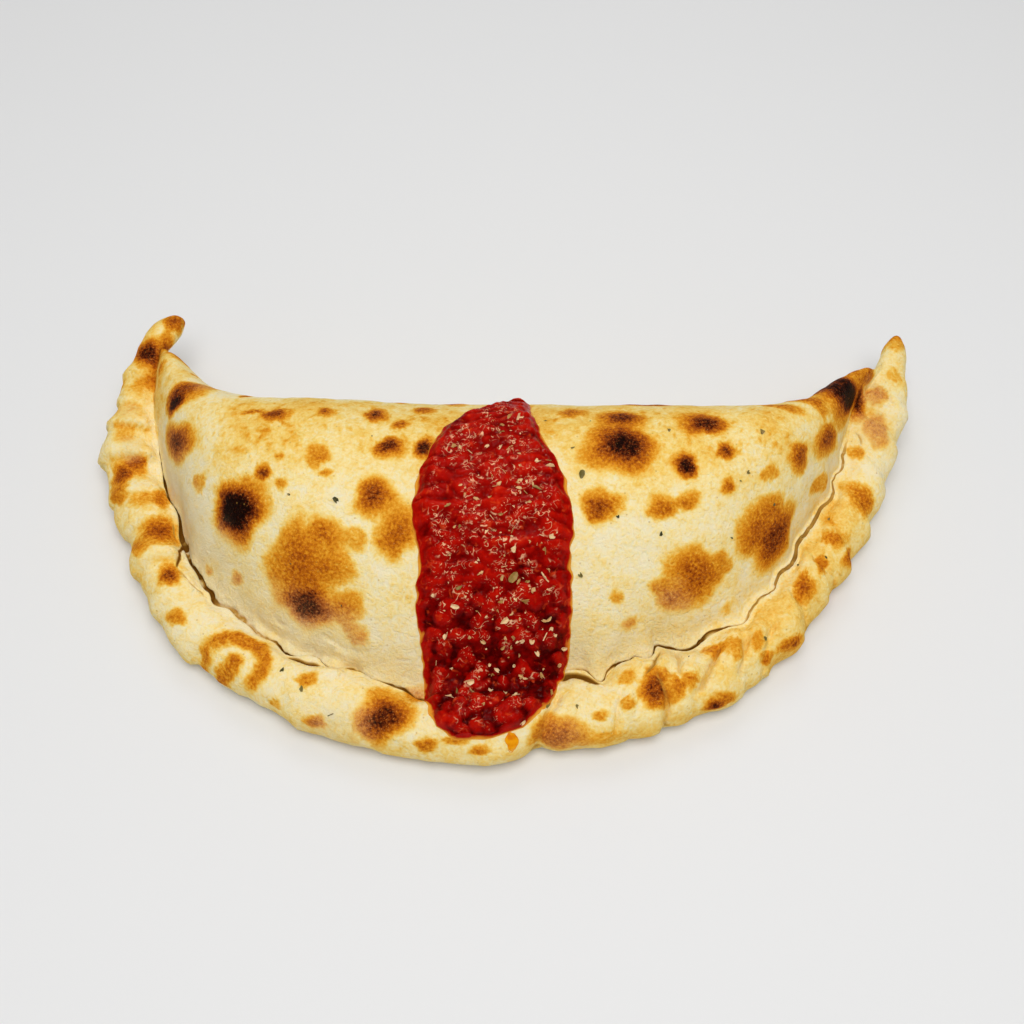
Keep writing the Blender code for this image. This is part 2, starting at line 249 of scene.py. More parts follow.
# Lobes of the pressed rim along the seam: bearing, reach in degrees, and how far the seam moves
# towards the body (less than 0: away from it).
Lobe = namedtuple("Lobe", "bearing reach inward")
LOBES = [Lobe(*row) for row in (
    (27.5, 4.5, 2.5), (39, 3, 1.5), (44.4, 2.4, -2.5), (50.5, 2.4, 1), (58.2, 3, -2.5),
    (61.5, 1.8, 0.8), (64.6, 2.4, -2.2), (68.5, 2.8, 1.4), (79, 3.5, -3), (104.1, 1.7, -3.2),
    (107.5, 2.6, 2.4), (112.4, 2.2, -3.2), (114.6, 1.2, 1.2), (118.1, 2.6, -1.8), (122.5, 2.6, 1.4),
    (127.7, 3.2, -3), (132.5, 2.6, 1.6), (141, 3.6, -2.6), (155.5, 3.2, -2.2), (161.5, 2, -1.4),
)]
LOBE_DEPTH = 8.0         # how far from the seam a lobe still moves the dough
shift = np.zeros(len(points))
for lobe in LOBES:
    near = np.clip(1.0 - ((bearing - lobe.bearing) / lobe.reach) ** 2, 0.0, 1.0)
    shift -= lobe.inward * near**2
shift *= ease(np.abs(to_seam), LOBE_DEPTH, 0.0) * ease(points[:, 2], 3.0, 7.0)
points[:, :2] += (points[:, :2] - FOLD_MIDDLE) * (shift / radius)[:, None]

# The body has sunk against the rim and half fills the valley beside it. At the left horn and along
# the right side it fills nearly all of it. What stays open is a slit. Dough is pressed in along a
# direction between its own normal and straight down, so that both banks of a slit move the same way.
FOLD_TAPER = 3.5         # length over which a fold ends
FOLD_STRAY = 0.9         # how far a fold wanders off its line
VALLEY_WIDTH = 2.6
MERGED_WIDTH = 5.0       # how much wider it is filled where rim and body merge, at the right horn
LIP_DROP = 1.3           # how far below the lip the valley is filled
SLIT_WIDTH = 0.32
SLIT_DEPTH = 1.3
SLIT_FLOOR = 0.6         # how far above and below the valley's floor the slit is as wide
LEAST_OPENING = 0.15
SEAM_OPENINGS = np.array((  # how far the slit gapes at a bearing: 0 closed, 1 open
    (2, 0.4), (12, 0.6), (20, 0.8), (31, 0.9), (42, 1), (45, 0.3), (55, 0.3), (58, 1),
    (65, 1), (67, 0.5), (80, 0.7), (101, 0.3), (104, 0.4), (108, 0.8), (113, 0.7), (118, 1),
    (125, 0.5), (127.5, 0.3), (131, 0.35), (134, 0.45), (145, 0.45), (152, 0.4), (165, 0.3),
))
shut = np.maximum(ease(bearing, 14.0, 6.0), ease(bearing, 110.0, 138.0))
merged = ease(bearing, 158.0, 166.0)
filled_to = np.interp(bearing, SEAM_BEARINGS, seam_lip) - LIP_DROP * (1.0 - 0.8 * merged)
closing = (0.5 + 0.45 * shut) * beside_seam
filling = np.exp(-((to_seam / (VALLEY_WIDTH + MERGED_WIDTH * merged)) ** 2)) * closing
points[:, 2] += np.clip(filled_to - points[:, 2], 0.0, None) * filling
floor_height = np.interp(bearing, SEAM_BEARINGS, seam_floor)
floor_height += np.clip(filled_to - floor_height, 0.0, None) * closing
from_floor = np.clip(np.abs(points[:, 2] - floor_height) - SLIT_FLOOR, 0.0, None)
from_slit = np.hypot(to_seam, from_floor)
inwards = -(normals + np.array([0.0, 0.0, 1.5]))
inwards /= np.linalg.norm(inwards, axis=1)[:, None]
gaping = np.interp(bearing, SEAM_OPENINGS[:, 0], SEAM_OPENINGS[:, 1])
gaping *= 1.0 + 0.4 * lumps(bearing, 3.0, 23.0)
in_seam = np.exp(-((from_slit / SLIT_WIDTH) ** 2)) * beside_seam
in_seam *= (1.0 - 0.7 * ease(bearing, 9.0, 3.0)) * (1.0 - ease(bearing, 164.0, 168.0))
in_seam *= np.clip(gaping, LEAST_OPENING, 1.0)
pressed = SLIT_DEPTH * in_seam
# The crease's mark: a brown line and painted shade in the slit and in the folds.
crease_brown_and_shade = in_seam**0.9
stray = np.stack([lumps(points, 4.0, 91.0), lumps(points, 4.0, 93.0)], 1)
astray = points[:, :2] + FOLD_STRAY * stray
for fold in FOLDS:
    inside = np.exp(-((distance_to_line(astray, fold.places) / fold.width) ** 2))
    inside *= normals[:, 2] > -0.2
    for end in (fold.places[0], fold.places[-1]):
        inside *= ease(np.hypot(points[:, 0] - end[0], points[:, 1] - end[1]), 0.0, FOLD_TAPER)
    pressed = np.maximum(pressed, fold.depth * inside)
    crease_brown_and_shade = np.maximum(crease_brown_and_shade, inside * fold.shade)
points += inwards * pressed[:, None]

# Right of the sauce the rim steps back where one stretch of it was pressed over the next.
STEP_X = 9.5
STEP_WIDTH = 4.0
STEP_BACK = 3.0
step = STEP_BACK * np.exp(-(((points[:, 0] - STEP_X) / STEP_WIDTH) ** 2))
points[:, 1] += step * ease(points[:, 1], -80.0, -88.0)

# Where fingers pinched the rim, each pinch ends in a lip: the dough climbs towards the lip's
# bearing and drops behind it.
Pinch = namedtuple("Pinch", "bearing height heat", defaults=(0.0,))
PINCHES = [Pinch(*row) for row in (
    (1.5, 1.3, 0.3), (5.8, 1, 0.22), (9.8, 2, 0.42), (15.2, 2.8, 0.56), (21.8, 1.6, 0.32),
    (27, 1.2, 0.26), (34, 2, 0.2), (41, 1.1), (49, 0.9), (57, 0.8), (66, 0.7),
    (108.3, 0.9), (113.6, 1.5), (117.5, 1.2), (124.5, 1.4, 0.16), (129, 1.2), (135, 1.1, 0.18),
    (142.5, 1.2), (149, 1.3, 0.24), (156, 1.4), (163, 1.4), (169.5, 1.5, 0.2), (175, 1.1),
)]
PINCH_REACH = 4.5        # degrees over which the dough climbs to a lip
PINCH_DROP = 0.6         # degrees over which it drops
SCORCH_REACH = 6.5       # degrees over which the browning in the lee of a lip fades
SLANT = 0.12             # degrees of bearing for each millimetre out, more on the right
on_rim = ease(to_seam, 0.5, 5.0) * ease(points[:, 2], 0.5, 5.0)
slanted = bearing + SLANT * (to_seam - 9.0) * (1.0 + 0.9 * ease(bearing, 60.0, 100.0))
lip = np.zeros(len(points))
scorch = np.zeros(len(points))
for pinch in PINCHES:
    climb = ease(slanted, pinch.bearing - PINCH_REACH, pinch.bearing)
    lip += pinch.height * climb * ease(slanted, pinch.bearing + PINCH_DROP, pinch.bearing)
    lee = ease(slanted, pinch.bearing, pinch.bearing + 0.7)
    fading = ease(slanted, pinch.bearing + SCORCH_REACH, pinch.bearing + 0.5)
    scorch = np.maximum(scorch, pinch.heat * lee * fading)
points += normals * (lip * on_rim)[:, None]

# Unevenness of hand-stretched dough: broad swells, then smaller ones, and knuckles along the rim.
# Each swell has a width, a height and a seed.
SWELLS = ((34.0, 0.8, 3.0), (13.0, 0.4, 7.0), (5.0, 0.22, 11.0))
RIM_SWELLS = ((9.0, 0.7, 13.0), (4.5, 0.35, 17.0))
KNUCKLE_WIDTH = 4.2      # degrees
KNUCKLE_HEIGHT = 1.1
above_ground = ease(points[:, 2], 0.3, 4.0)
for size, height, seed in SWELLS:
    points += normals * (height * lumps(points, size, seed) * above_ground)[:, None]
knuckles = KNUCKLE_HEIGHT * lumps(bearing, KNUCKLE_WIDTH, 19.0)
points += normals * (knuckles * on_rim)[:, None]
for size, height, seed in RIM_SWELLS:
    points += normals * (height * lumps(points, size, seed) * on_rim)[:, None]

# Knobs of dough squeezed up between the pleats.
Knob = namedtuple("Knob", "x y size height")
KNOBS = [Knob(*row) for row in (
    (53.7, -57, 3, 1.7), (44.5, -58.5, 4, 1), (63, -57, 4, 1.1), (74, -53.5, 4, 1),
    (85, -47, 3.6, 0.9), (-115, -24, 3.4, 1), (-88, -46, 4, 0.9),
    (-60, -62, 3.6, 1.1), (-52, -65, 3.4, 0.9),
)]
for knob in KNOBS:
    gap = np.hypot(points[:, 0] - knob.x, points[:, 1] - knob.y)
    swell = knob.height * np.exp(-((gap / knob.size) ** 2))
    points[:, 2] += swell * (normals[:, 2] > 0.0) * ease(to_seam, 0.0, 1.5)

# Blisters, where the crust puffed up and browned: the place in plan, the width across and along
# the surface, how dark it baked (0.3 golden, 0.6 brown, 1 charred) and its turn in degrees.
Blister = namedtuple("Blister", "x y across along heat turn", defaults=(0.0,))
BLISTERS = [Blister(*row) for row in (
    # body, left of the sauce
    (-120.5, 39.5, 23, 14, 0.7), (-123.5, 36.5, 17, 9, 0.97), (-121, 21, 28, 17, 0.74),
    (-91, 22, 10, 3, 0.55), (-134, 60, 7, 6, 0.44), (-82, 19, 13, 8, 0.74, 12), (-65, 20, 8, 7, 0.64),
    (-47, 20, 10, 10, 0.74), (-31, 25, 8, 9, 0.62), (-38, 14, 7, 6, 0.62), (-20, 33, 8, 10, 0.5),
    (-41, 3, 12, 10, 0.8, 20), (-29, 2, 9, 11, 0.88), (-85, -4, 6, 7, 0.7), (-79, 0, 3.5, 3, 0.42),
    (-66, 0, 10, 9, 0.42, 30), (-63, -7, 4, 3, 0.38), (-110, 1, 8, 6, 0.36), (-78, -9, 5, 4, 0.4),
    (-85, 11, 5, 4, 0.36), (-93.5, -13, 25, 23, 1), (-46, -15, 14, 16, 0.68), (-96, -28, 6, 6, 0.45),
    (-72, -34, 27, 34, 0.54), (-70, -40.5, 25, 20, 0.86), (-63, -27, 15, 14, 0.52, -20),
    (-61, -34, 17, 18, 0.46), (-53, -28, 9, 8, 0.3), (-57, -44.5, 15, 13, 0.44), (-53, -51, 9, 9, 0.36),
    (-38, -26, 13, 21, 0.54),
    # body, right of the sauce
    (22, 22, 11, 9, 0.52), (37, 3.5, 25, 25, 0.9), (36.8, 3.5, 12, 11, 0.98), (38, 17, 22, 13, 0.74),
    (66, 15, 19, 14, 0.82), (59, -3, 10, 10, 0.9), (74, 3, 8, 8, 0.72), (30, -18, 15, 13, 0.68),
    (51, -18, 10, 9, 0.52), (60, -15, 8, 7, 0.46), (74, -9, 6, 6, 0.56), (90, -1, 9, 5, 0.36),
    (102, 9, 13, 12, 0.64), (115, 22, 20, 13, 0.66), (113, 11, 14, 7, 0.34), (126.5, 46, 27, 18, 1),
    (122, 42, 28, 20, 0.9), (133, 50.5, 11, 16, 0.87), (118, 43, 26, 11, 0.7, -12),
    (108, 35, 22, 8, 0.52, -20), (98, 28, 18, 6, 0.44, -10), (125, 39, 20, 12, 0.32),
    (136.5, 58.5, 14, 10, 0.56), (92, -15, 29, 22, 0.74, 22), (86, -17, 21, 21, 0.56),
    (88.5, -11.5, 20, 13, 0.5, 22), (62, -34, 21, 24, 0.6), (57, -38, 19, 13, 0.5),
    (72, -29, 9, 9, 0.4), (41, -47, 6, 4, 0.4), (36, -42, 5, 4, 0.32), (75, -38, 4, 4, 0.3),
    # rim, from the left horn round the front to the right horn
    (-133, 87, 10, 9, 0.58), (-142, 72, 15, 16, 0.84), (-139, 62, 11, 10, 0.46),
    (-146, 22, 12, 11, 0.7), (-147, 14, 9, 10, 0.46), (-131, 11, 7, 9, 0.5), (-128, -5, 16, 15, 0.62),
    (-134, -10, 12, 9, 0.42), (-122, -23, 9, 11, 0.66), (-117, -40, 8, 6, 0.45),
    (-108, -21, 5, 4, 0.32), (-69, -65, 7, 6, 0.46), (-42, -77, 21, 18, 0.8),
    # The first blister here, beside the lower left of the sauce, is a brown stain and painted shade.
    (-32.5, -69, 8, 10, 0.46, -30), (-66, -78, 9, 5, 0.52), (-80, -71, 5, 4, 0.32),
    (-28, -87, 8, 6, 0.5), (-18, -86, 9, 3, 0.46), (-10, -89, 7, 3, 0.46), (17.5, -83, 22, 13, 0.56),
    (30, -78, 5, 4, 0.38), (30, -84, 18, 6, 0.28), (121, 3, 14, 16, 0.22), (39, -74, 5, 5, 0.38),
    (39, -64, 5, 6, 0.35), (49, -68, 12, 16, 0.72), (56, -68, 5, 10, 0.48), (61, -65, 7, 6, 0.45),
    (69, -71, 10, 6, 0.78), (73, -69, 9, 6, 0.5), (70, -53, 8, 6, 0.46), (77, -53, 6, 10, 0.36),
    (85, -50, 4, 8, 0.36), (88, -54, 6, 5, 0.5), (97, -49, 11, 7, 0.56), (104, -29, 9, 12, 0.58),
    (111, -19, 5, 9, 0.5), (118, -8, 10, 8, 0.48), (123, -13, 7, 9, 0.6), (130, 10, 13, 15, 0.5),
    (139, 39, 9, 15, 0.46), (131, 30, 6, 7, 0.36), (141, 54, 9, 8, 0.42), (149, 63, 6, 8, 0.26),
    (152, 77, 8, 7, 0.3),
)]

# A ring that browned round a bubble: the crest of its wall, half its width and how dark it baked.
Ring = namedtuple("Ring", "places width heat")
RINGS = (
    Ring(((-105.5, -55), (-105.5, -51.5), (-101.5, -49.3), (-96, -48.6), (-91, -50), (-86.5, -53),
          (-84, -57.5), (-84.5, -61.5), (-87.5, -64.5)), 3.4, 0.45),
    Ring(((-100, -60.5), (-96.5, -60.5), (-94.5, -58)), 3.6, 0.47),
)
RING_HEIGHT = 0.5
GOLDEN = 0.33            # browning in the ring round a blister's dark middle
CHARRED = 0.98           # a blister this dark is dark nearly to its edge
PUFF = 0.045             # height of a blister, as a share of its width
RAGGED = 0.27            # how far its outline wanders, as a share of its radius
OVAL = ((2, 0.08), (3, 0.08), (5, 0.05))  # waves round its outline, and their heights

write_points(dough.data, points)
tree = tree_of(dough.data)
normals = read_normals(dough.data)
upwards = normals[:, 2] > 0.0
browning = np.zeros(len(points))
wander = lumps(points, 3.4, 31.0) * 0.7 + lumps(points, 1.6, 37.0) * 0.45
wide_wander = lumps(points, 9.0, 41.0)
puff = np.zeros(len(points))


def bake(place, normal, across, along, heat, turn):
    """Browns the dough round a place on its surface, and puffs it up a little. The outline is an
    uneven oval, and the darkest place in it is a little off its middle."""
    shapes = random.Random(int(31 * place[0] + 17 * place[1]))
    side = Vector((1.0, 0.0, 0.0)) - normal * normal.x
    side.normalize()
    side = Matrix.Rotation(math.radians(turn), 3, normal) @ side
    gap = points - np.array(place)
    u = gap @ np.array(side) / (across / 2)
    v = gap @ np.array(normal.cross(side)) / (along / 2)
    w = gap @ np.array(normal) / (max(across, along) * 0.6)
    angle = np.arctan2(v, u)
    outline = 1.0
    for waves, height in OVAL:
        outline = outline + height * np.sin(waves * angle + shapes.uniform(0.0, 6.3))
    rough = RAGGED * (wander * min(1.0, 9.0 / across) + 0.6 * wide_wander)
    distance = np.sqrt(u * u + v * v + w * w)
    rough = rough * np.minimum(distance, 1.5)
    dark_u, dark_v = shapes.uniform(-0.2, 0.2), shapes.uniform(-0.2, 0.2)
    from_dark = np.sqrt((u - dark_u) ** 2 + (v - dark_v) ** 2 + w * w) / outline + rough
    distance = distance / outline + rough
    edge = min(GOLDEN, heat) * (0.72 * ease(distance, 1.22, 0.8) + 0.28 * ease(distance, 1.75, 0.9))
    centre = max(0.0, heat - GOLDEN) * ease(from_dark, 1.0, 0.3 if heat > CHARRED else 0.15)
    np.maximum(browning, edge + centre, out=browning)
    np.maximum(puff, PUFF * min(across, along) * ease(distance, 1.1, 0.1), out=puff)


for blister in BLISTERS:
    place, normal = drop(tree, blister.x, blister.y)
    bake(place, normal, blister.across, blister.along, blister.heat, blister.turn)

for ring in RINGS:
    gap = distance_to_line(points, ring.places) / ring.width + 0.5 * wander + 0.35 * wide_wander
    np.maximum(browning, ring.heat * ease(gap, 1.35, 0.25) * upwards, out=browning)
    puff += RING_HEIGHT * ease(gap, 1.4, 0.2) * upwards
across_rim = ease(to_seam + 4.0 * wide_wander, 1.5, 6.5) * ease(to_seam + 3.0 * wander, 21.0, 12.0)
patchy = np.clip(1.0 + 1.5 * wide_wander + 0.5 * wander, 0.2, 1.25)
np.maximum(browning, scorch * patchy * across_rim * above_ground, out=browning)

# The back and the underside brown in smaller, scattered places: how many, their smallest and
# largest width, and how dark the darkest bakes.
BACK_SPOTS = (46, 3.5, 17.0, 0.72)
UNDERSIDE_SPOTS = (90, 4.0, 16.0, 0.62)
scatter = random.Random(5)
behind = np.flatnonzero((normals[:, 1] > 0.62) & (points[:, 1] > 25.0) & (points[:, 2] > 9.0))
beneath = np.flatnonzero((normals[:, 2] < -0.9) & (points[:, 2] < 0.5))
for spots, sizes in ((behind, BACK_SPOTS), (beneath, UNDERSIDE_SPOTS)):
    count, smallest, largest, heat = sizes
    for _ in range(count):
        k = int(spots[scatter.randrange(len(spots))])
        size = smallest + (largest - smallest) * scatter.random() ** 2.2
        stretch = scatter.uniform(0.7, 1.3)
        turn = scatter.uniform(0.0, 180.0)
        darkness = scatter.uniform(0.36, heat)
        bake(Vector(points[k]), Vector(normals[k]), size * stretch, size / stretch, darkness, turn)

points += normals * (puff * above_ground)[:, None]
points[:, 2] = np.maximum(points[:, 2], 0.0)
write_points(dough.data, points)

# General colour: the crown, the rim and the flap at the left horn are toasted yellow. The lower
# front is paler and floury. Each part of the crust has its own share of toasting.
x, y, z = points.T
crown = ease(z, 38.0, 56.0) * ease(y, -26.0, 12.0) * ease(y, 42.0, 30.0)
rim = ease(to_seam, 0.0, 3.0) * above_ground
rim_front = ease(np.abs(bearing - 85.0), 55.0, 25.0)
outside = ease(to_seam, 12.0, 20.0) * ease(z, 16.0, 8.0) * above_ground
horns = np.maximum(ease(bearing, 10.0, -2.0), ease(bearing, 168.0, 180.0)) * ease(to_seam, -8.0, 2.0)
patches = lumps(points, 16.0, 51.0)
fine_patches = lumps(points, 5.0, 57.0)
left_flap = ease(np.hypot(x + 136.0, y - 54.0), 26.0, 6.0) * ease(to_seam, 2.0, -1.0)
right_rim = ease(bearing, 88.0, 104.0) * rim
rim_front = np.maximum(rim_front, ease(bearing, 148.0, 162.0))
# Painted light: the bank right of the sauce, beside the seam, is painted warmer, as if more light fell on
# it.
right_bank_painted_light = ease(bearing, 96.0, 108.0) * ease(to_seam, -24.0, -8.0) * ease(to_seam, 2.0, -2.0)
freckles = ease(lumps(points, 2.4, 63.0), 0.28, 0.5) * crown * ease(y, -5.0, 8.0)
toast = 0.055 + 0.13 * crown + 0.08 * rim * (1.0 - 0.8 * rim_front) + 0.06 * outside
toast += 0.04 * right_rim * (1.0 - ease(bearing, 148.0, 162.0)) + 0.025 * right_bank_painted_light
toast += 0.13 * freckles - 0.035 * ease(x, -85.0, -105.0)
toast += (0.05 + 0.04 * crown + 0.03 * right_rim) * patches + 0.04 * fine_patches
toast += (0.1 + 0.05 * patches) * horns * np.where(x > 0.0, 0.3, 1.0)
toast += (0.16 + 0.06 * fine_patches) * left_flap
LEAST_TOAST, MOST_TOAST = 0.02, 0.36
browning = np.maximum(browning, np.clip(toast, LEAST_TOAST, MOST_TOAST))
# Flour lies on the front of the body above the seam; its greyer colour there also paints the shade above
# the seam.
flour_and_shade = ease(to_seam, -16.0, -3.0) * ease(to_seam, 1.0, -1.0) * ease(np.abs(bearing - 66.0), 54.0, 34.0)
flour_and_shade = np.clip(flour_and_shade * (0.75 + 0.5 * fine_patches), 0.0, 1.0)
flour_and_shade = np.maximum(flour_and_shade, 0.6 * ease(normals[:, 2], -0.2, -0.8))

# Dust left where the dough lay folded: greyish, over golden crust it looks rosy.
Dust = namedtuple("Dust", "x y size amount")
DUSTINGS = [Dust(*row) for row in (
    (-144, 32, 11, 0.6), (-147, 47, 10, 0.4), (-112, 44, 12, 0.3), (139, 39, 18, 0.5),
    (141, 54, 12, 0.45), (-103, -20, 13, 0.75), (18, -86, 18, 0.25), (56, -49, 22, 0.55),
    # This dusting, under the front of the rim, is greyer dust and painted shade.
    (-58, -82, 24, 0.5),
)]
for dust in DUSTINGS:
    gap = np.hypot(x - dust.x, y - dust.y) / (dust.size / 2)
    flour_and_shade = np.maximum(flour_and_shade, dust.amount * ease(gap + 0.4 * wander, 1.3, 0.3))


def mark(piece, name, values):
    """Stores one number for each point of a piece, for its material to read."""
    attribute = piece.data.attributes.new(name, "FLOAT", "POINT")
    attribute.data.foreach_set("value", values.astype(np.float32))


mark(dough, "browning", browning)
mark(dough, "flour_and_shade", flour_and_shade)
# The crease's brown line and painted shade, for the crust to read.
mark(dough, "seam", np.clip(crease_brown_and_shade, 0.0, 1.0))


def linear(color):
    """An sRGB hex colour as linear red, green, blue and alpha."""
    parts = [int(color[k:k + 2], 16) / 255 for k in (1, 3, 5)]
    return tuple(c / 12.92 if c <= 0.04045 else ((c + 0.055) / 1.055) ** 2.4 for c in parts) + (1.0,)


def set_up(tree, node, settings):
    """Sets a node up: each setting is one of its properties, or a value or a link for an input."""
    for key, value in settings.items():
        if isinstance(value, bpy.types.NodeSocket):
            tree.links.new(value, node.inputs[key])
        elif isinstance(key, str) and hasattr(node, key):
            setattr(node, key, value)
        else:
            node.inputs[key].default_value = value
    return node


def add_node(tree, kind, settings, output=0):
    """Adds a shader node with its settings and links, and gives one of its outputs."""
    return set_up(tree, tree.nodes.new("ShaderNode" + kind), settings).outputs[output]


def set_ramp(output, stops):
    """Fills the colour ramp of an output's node with (position, colour) stops."""
    elements = output.node.color_ramp.elements
    while len(elements) < len(stops):
        elements.new(1.0)
    for element, (position, color) in zip(elements, stops):
        element.position = position
        element.color = linear(color)


def new_material(name):
    """An empty material and its shader."""
    made = bpy.data.materials.new(name)
    made.use_nodes = True
    return made, made.node_tree, made.node_tree.nodes["Principled BSDF"]


# Wheat crust from a stone oven: matt and floury, cream where it stayed pale, then golden, brown
# and charred. Each pattern has its real size in millimetres, its detail, roughness and distortion.
crust, nodes, shader = new_material("stone-baked wheat crust")
BREAD_COLORS = (
    (0.0, "#F3E6BE"), (0.09, "#F6DF9C"), (0.18, "#F3CC6A"), (0.27, "#EBAE3C"), (0.36, "#E09420"),
    (0.49, "#C46E0E"), (0.63, "#9C4A0A"), (0.78, "#5E2105"), (0.9, "#2A0A02"), (1.0, "#150401"),
)
GRAIN = (1.0, 3.0, 0.6, 0.0)
FINE_GRAIN = (0.45, 2.0, 0.5, 0.0)
STREAKS = (2.6, 3.0, 0.6, 0.8)
MOTTLE = (8.0, 3.0, 0.55, 0.0)
place = add_node(nodes, "TexCoord", {}, "Object")
baked, flour_and_shade_fac, crease_brown_and_shade_fac = (
    add_node(nodes, "Attribute", {"attribute_name": name}, "Fac")
    for name in ("browning", "flour_and_shade", "seam")
)
grain, fine, streaks, mottle = (
    add_node(nodes, "TexNoise", {"Vector": place, "Scale": 1 / (size * MM), "Detail": detail,
                                 "Roughness": roughness, "Distortion": distortion})
    for size, detail, roughness, distortion in (GRAIN, FINE_GRAIN, STREAKS, MOTTLE)
)

# Browning runs unevenly: grainy inside the blisters, streaky and mottled on pale dough.
STREAKINESS = 0.27
MOTTLING = 0.2
graininess = add_node(nodes, "MapRange", {"Value": baked, "From Min": 0.2, "From Max": 0.5,
                                          "To Min": 0.19, "To Max": 0.7})
heat = baked
for pattern, amount in ((grain, graininess), (streaks, STREAKINESS), (mottle, MOTTLING)):
    change = add_node(nodes, "Math", {"operation": "SUBTRACT", 0: pattern, 1: 0.5})
    change = add_node(nodes, "Math", {"operation": "MULTIPLY", 0: change, 1: amount})
    heat = add_node(nodes, "Math", {"operation": "ADD", 0: heat, 1: change})
bread = add_node(nodes, "ValToRGB", {"Fac": heat})
set_ramp(bread, BREAD_COLORS)

# Tiny dry bubbles stand out light on the brown, and pores show as dark dots on the pale dough.
# Flour, greyer where it also paints the shade above the seam, and dry dough lie on top of that.
# The crease is painted golden at its edges and dark brown inside: a brown line and painted shade.
BUBBLE = "#E6A050"
PORE = "#B98A3C"
FLOUR_AND_SHADE_COLOR = "#E0CC98"
CREASE_SHADE_EDGE_COLOR = "#C8983C"
CREASE_SHADE_INSIDE_COLOR = "#6E4004"
PORE_SPACING = 2.6
PORELESS = 0.75          # share of the places for a pore that have none
cells = add_node(nodes, "TexVoronoi", {"Vector": place, "Scale": 1 / (PORE_SPACING * MM)})
picked = add_node(nodes, "SeparateColor", {"Color": cells.node.outputs["Color"]})
picked = add_node(nodes, "Math", {"operation": "GREATER_THAN", 0: picked, 1: PORELESS})

# Each of these changes from one strength to another while a mark or a pattern grows.
bubbles, on_brown, not_charred, pores, dusty, clings, crease_shade_at_edge, inside, rough = (
    add_node(nodes, "MapRange", {"Value": value, "From Min": start, "From Max": end,
                                 "To Min": first, "To Max": last})
    for value, start, end, first, last in (
        (fine, 0.6, 0.7, 0.0, 0.45), (heat, 0.34, 0.5, 0.0, 1.0), (heat, 0.75, 0.95, 1.0, 0.1),
        (cells, 0.06, 0.17, 0.5, 0.0), (fine, 0.35, 0.75, 0.35, 1.0), (heat, 0.3, 0.8, 1.0, 0.15),
        (crease_brown_and_shade_fac, 0.1, 0.34, 0.0, 0.93), (crease_brown_and_shade_fac, 0.24, 0.66, 0.0, 0.93), (baked, 0.0, 1.0, 0.7, 0.55))
)
# The last two mixes paint the crease: a brown line and painted shade, golden at its edges.
color = bread
for amount, limits, tint in (
    (bubbles, (on_brown, not_charred), BUBBLE), (pores, (picked,), PORE),
    (dusty, (flour_and_shade_fac, clings), FLOUR_AND_SHADE_COLOR), (crease_shade_at_edge, (), CREASE_SHADE_EDGE_COLOR), (inside, (), CREASE_SHADE_INSIDE_COLOR),
):
    for limit in limits:
        amount = add_node(nodes, "Math", {"operation": "MULTIPLY", 0: amount, 1: limit})
    color = add_node(nodes, "Mix", {"data_type": "RGBA", 0: amount, 6: color, 7: linear(tint)}, 2)
STREAK_HEIGHT = 0.8
GRAIN_HEIGHT = 0.5
FINE_HEIGHT = 0.15
BUMP_STRENGTH = 0.8
below = {}
for pattern, height in ((streaks, STREAK_HEIGHT), (grain, GRAIN_HEIGHT), (fine, FINE_HEIGHT)):
    bumps = add_node(nodes, "Bump", {"Height": pattern, "Distance": height * MM,
                                     "Strength": BUMP_STRENGTH, **below})
    below = {"Normal": bumps}
set_up(nodes, shader, {
    "Base Color": color, "Roughness": rough, "Normal": bumps, "IOR": 1.4,
    "Specular IOR Level": 0.05, "Subsurface Weight": 0.12, "Subsurface Radius": (1.0, 0.6, 0.3),
    "Subsurface Scale": 2.5 * MM,
})
dough.data.materials.clear()
dough.data.materials.append(crust)

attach(dough, "root")
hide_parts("dough")


# ----------------------------------------------------------
# Tomato sauce. Crushed tomato and oil, ladled over the crown while the crust is hot. It lies 3 to
# 4 mm thick in soft lumps of pulp, runs down over the seam and the rim, and weeps oil at its edge.

SAUCE_THICKNESS = 3.3
SAUCE_EDGE = 3.8         # how far in from its edge the sauce reaches its full thickness
OIL_EDGE = 0.8           # width of the oil that weeps out round it
OIL_THICKNESS = 0.25
SAUCE_SINK = 0.8         # how far its underside presses into the crust
SAUCE_WOBBLE = 0.9       # how far its left and right edges wander
SAUCE_ACROSS = 128       # points of its mesh from left to right
SAUCE_ALONG = 290        # and from front to back
SAUCE_STEPS = 400        # steps in which the line down its middle is measured
SAUCE_MIDDLE = -4.0

sauce_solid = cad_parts["tomato_sauce"].data
corners = read_points(sauce_solid)
triangles = np.array([face.vertices[:] for face in sauce_solid.polygons])
ends = np.concatenate([triangles[:, [0, 1]], triangles[:, [1, 2]], triangles[:, [2, 0]]])
starts, stops = corners[ends[:, 0]], corners[ends[:, 1]]


def sauce_width(y):
    """Left and right end of the sauce's solid at a distance from front to back."""
    crossing = (starts[:, 1] - y) * (stops[:, 1] - y) < 0.0
    share = (y - starts[crossing, 1]) / (stops[crossing, 1] - starts[crossing, 1])
    x = starts[crossing, 0] + share * (stops[crossing, 0] - starts[crossing, 0])
    return x.min(), x.max()


dough_tree = tree_of(dough.data)


def dough_height(x, y):
    """Height of the top of the baked dough over a place."""
    place, _ = drop(dough_tree, x, y)
    return place.z if place else 0.0


sauce_tree = tree_of(sauce_solid)


def settled_height(x, y):
    """Height of the top of the sauce's solid, or of the dough beside it."""
    place, _ = drop(sauce_tree, x, y)
    return place.z if place else dough_height(x, y) + SAUCE_THICKNESS


